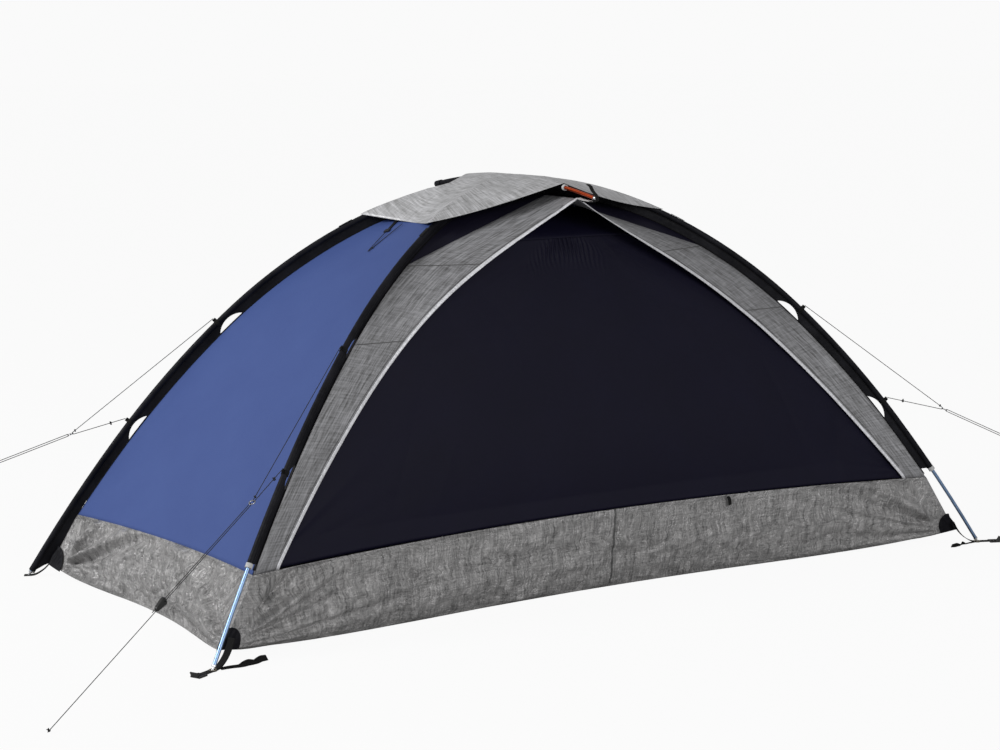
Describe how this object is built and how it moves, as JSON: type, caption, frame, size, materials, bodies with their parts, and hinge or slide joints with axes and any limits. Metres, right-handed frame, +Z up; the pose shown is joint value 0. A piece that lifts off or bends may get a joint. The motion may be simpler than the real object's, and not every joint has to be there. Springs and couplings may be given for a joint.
{
  "type": "dome tent",
  "caption": "Small single-wall dome tent on crossed poles with a short ridge pole, tub floor, roof cap, side door under an awning, and cord guylines.",
  "frame": {"origin": "on the ground, at the centre of the four pole feet", "axes": "+X along the length of the tent, the door faces -Y, +Z up"},
  "size_m": [2.8658, 1.3654, 1.0217],
  "materials": {
    "black_fabric": "black coated cloth",
    "black_plastic": "moulded",
    "black_webbing": "woven",
    "blue_fabric": "matt coated cloth",
    "dark_fabric": "matt dark cloth",
    "eyelet_brass": "rolled",
    "ferrule_alloy": "mill finish",
    "grey_fabric": "coated silver-grey laminate",
    "guy_cord": "braided cord",
    "pole_alloy": "anodised satin",
    "ridge_alloy": "orange anodised",
    "shock_cord": "braided elastic",
    "steel_ring": "welded",
    "tip_alloy": "turned",
    "white_webbing": "woven",
    "zip_tape": "woven tape with nylon coil"
  },
  "bodies": {
    "tent": {"awning_panels_back": "dark_fabric", "awning_panels_front": "dark_fabric", "back_wall": "dark_fabric", "corner_grommets": "eyelet_brass", "corner_patches": "black_fabric", "corner_straps": "black_webbing", "door_tie_tab": "black_webbing", "end_wall_left": "blue_fabric", "end_wall_right": "blue_fabric", "floor": "grey_fabric", "front_door_sill": "dark_fabric", "front_door_zips": "zip_tape", "front_wall_top": "dark_fabric", "guy_bridle_back_left": "guy_cord", "guy_bridle_front_left": "guy_cord", "guy_bridle_front_right": "guy_cord", "guy_line_back_left": "guy_cord", "guy_line_front_left": "guy_cord", "guy_line_front_right": "guy_cord", "guy_loops": "black_webbing", "guy_ring_back_left": "steel_ring", "guy_ring_front_left": "steel_ring", "guy_ring_front_right": "steel_ring", "ladder_locks": "black_plastic", "pole_a_shock_cord": "shock_cord", "pole_a_tubes_back_right": "pole_alloy", "pole_a_tubes_front_left": "pole_alloy", "pole_b_shock_cord": "shock_cord", "pole_b_tubes_back_left": "pole_alloy", "pole_b_tubes_front_right": "pole_alloy", "pole_ferrules": "ferrule_alloy", "pole_sleeve_back_left": "black_fabric", "pole_sleeve_back_right": "black_fabric", "pole_sleeve_front_left": "black_fabric", "pole_sleeve_front_right": "black_fabric", "pole_tips": "tip_alloy", "ridge_pole_ball_tips": "tip_alloy", "ridge_pole_ferrule": "ferrule_alloy", "ridge_pole_shock_cord": "shock_cord", "ridge_pole_tubes": "ridge_alloy", "ridge_sleeves": "black_fabric", "ridge_tip_webbing": "black_webbing", "roof_cap": "grey_fabric", "roof_cap_ties": "black_webbing", "sleeve_end_bands": "white_webbing", "storm_flap_back_left": "grey_fabric", "storm_flap_back_right": "grey_fabric", "storm_flap_front_left": "grey_fabric", "storm_flap_front_right": "grey_fabric", "strap_tails": "black_webbing", "tub_wall_back": "grey_fabric", "tub_wall_front": "grey_fabric", "tub_wall_left": "grey_fabric", "tub_wall_right": "grey_fabric", "vent_tab": "black_webbing", "vent_tie_buckle": "black_plastic", "vent_tie_cord": "guy_cord"},
    "front_door": {"front_door": "dark_fabric"},
    "zip_slider": {"front_door_zip_slider": "black_plastic"},
    "line_tensioner": {"guy_tensioner": "black_plastic"}
  },
  "joints": [
    {"name": "front_door_fold", "type": "hinge", "parent": "tent", "child": "front_door", "pos_m": [0, -0.4, 0.25], "axis": [-1, 0, 0], "range_deg": [0, 90]},
    {"name": "front_door_zip_run", "type": "hinge", "parent": "tent", "child": "zip_slider", "pos_m": [1.39642, -1.24793, -1.25634], "axis": [0.0774, 0.924, -0.3745], "range_deg": [0, 8.7]},
    {"name": "tensioner_slide", "type": "slide", "parent": "tent", "child": "line_tensioner", "axis": [-0.8033, -0.3824, -0.4566], "range_m": [-0.3, 0.012]}
  ]
}
